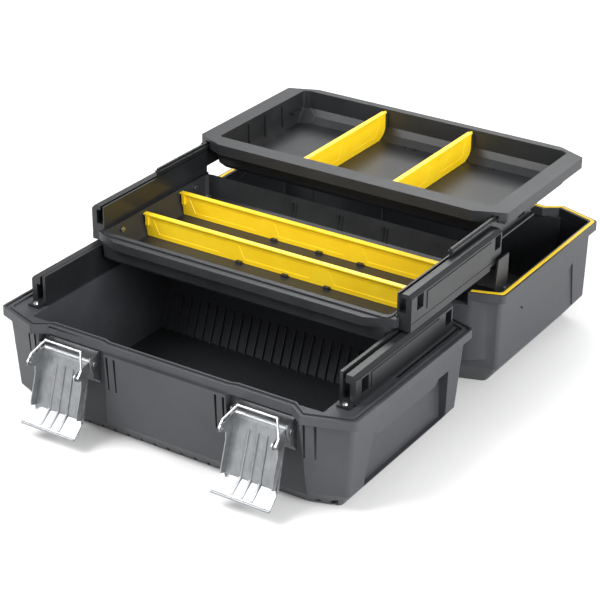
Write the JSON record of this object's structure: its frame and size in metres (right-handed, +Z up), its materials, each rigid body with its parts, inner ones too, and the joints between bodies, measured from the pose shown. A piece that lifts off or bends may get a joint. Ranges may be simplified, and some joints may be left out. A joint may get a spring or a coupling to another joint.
{
  "type": "cantilever tool box",
  "caption": "Open cantilever tool box: grey moulded base and lid, a middle tray on rails, a top tray on slides, yellow dividers and pull-down metal latches.",
  "frame": {"origin": "middle of the flat underside of the base, on the floor", "axes": "+X to the right along the front, +Y from the front to the hinged rear, +Z up"},
  "size_m": [0.446, 0.6345, 0.2023],
  "materials": {
    "shell_grey": "fine-textured dark grey moulded foam plastic",
    "rail_black": "satin black plastic",
    "divider_yellow": "glossy yellow plastic",
    "seal_yellow": "soft yellow seal",
    "zinc_sheet": "bright zinc-plated sheet",
    "steel": "plated steel wire, pins and screws"
  },
  "bodies": {
    "base": {"base_shell": "shell_grey", "base_rail_left": "rail_black", "base_rail_right": "rail_black", "base_rail_screws": "steel", "latch_bracket_left": "zinc_sheet", "latch_bracket_right": "zinc_sheet", "latch_rivets": "steel", "hinge_pin_left": "steel", "hinge_pin_right": "steel"},
    "lid": {"lid_shell": "shell_grey", "lid_seal": "seal_yellow", "lid_arm_left": "rail_black", "lid_arm_right": "rail_black", "lid_arm_screws": "steel", "latch_keeper_left": "zinc_sheet", "latch_keeper_right": "zinc_sheet", "keeper_rivets": "steel", "handle_pins": "steel"},
    "handle": {"handle": "rail_black"},
    "middle_tray": {"middle_tray": "shell_grey", "tray_rail_left": "rail_black", "tray_rail_right": "rail_black", "tray_rail_screws": "steel", "long_divider_front": "divider_yellow", "long_divider_rear": "divider_yellow"},
    "slide_left": {"slide_left": "rail_black"},
    "slide_right": {"slide_right": "rail_black"},
    "top_tray": {"top_tray": "shell_grey", "short_divider_left": "divider_yellow", "short_divider_right": "divider_yellow"},
    "lever_left": {"latch_lever_left": "zinc_sheet", "lever_pin_left": "steel"},
    "lever_right": {"latch_lever_right": "zinc_sheet", "lever_pin_right": "steel"},
    "bail_left": {"bail_left": "steel"},
    "bail_right": {"bail_right": "steel"}
  },
  "joints": [
    {"name": "lid_hinge", "type": "hinge", "parent": "base", "child": "lid", "pos_m": [0, 0.1543, 0.118], "axis": [1, 0, 0], "range_deg": [0, 180]},
    {"name": "handle_fold", "type": "hinge", "parent": "lid", "child": "handle", "pos_m": [0, 0.3171, 0.006], "axis": [1, 0, 0], "range_deg": [-95, 0]},
    {"name": "middle_tray_run", "type": "slide", "parent": "base", "child": "middle_tray", "axis": [0, -1, 0], "range_m": [0, 0.1087]},
    {"name": "slide_left_run", "type": "slide", "parent": "middle_tray", "child": "slide_left", "axis": [0, -1, 0], "range_m": [0, 0.1087]},
    {"name": "slide_right_run", "type": "slide", "parent": "middle_tray", "child": "slide_right", "axis": [0, -1, 0], "range_m": [0, 0.1087]},
    {"name": "top_tray_run", "type": "slide", "parent": "slide_left", "child": "top_tray", "axis": [0, -1, 0], "range_m": [0, 0.1127]},
    {"name": "lever_left_turn", "type": "hinge", "parent": "base", "child": "lever_left", "pos_m": [-0.122, -0.1315, 0.09], "axis": [1, 0, 0], "range_deg": [-45, 0]},
    {"name": "lever_right_turn", "type": "hinge", "parent": "base", "child": "lever_right", "pos_m": [0.122, -0.1315, 0.09], "axis": [1, 0, 0], "range_deg": [-45, 0]},
    {"name": "bail_left_turn", "type": "hinge", "parent": "lever_left", "child": "bail_left", "pos_m": [-0.122, -0.1585, 0.085], "axis": [1, 0, 0], "range_deg": [0, 180]},
    {"name": "bail_right_turn", "type": "hinge", "parent": "lever_right", "child": "bail_right", "pos_m": [0.122, -0.1585, 0.085], "axis": [1, 0, 0], "range_deg": [0, 180]}
  ],
  "couplings": [
    {"joint": "middle_tray_run", "follows": "lid_hinge", "m_per_rad": 0.03459},
    {"joint": "slide_left_run", "follows": "lid_hinge", "m_per_rad": 0.03459},
    {"joint": "slide_right_run", "follows": "lid_hinge", "m_per_rad": 0.03459},
    {"joint": "top_tray_run", "follows": "lid_hinge", "m_per_rad": 0.035862}
  ]
}
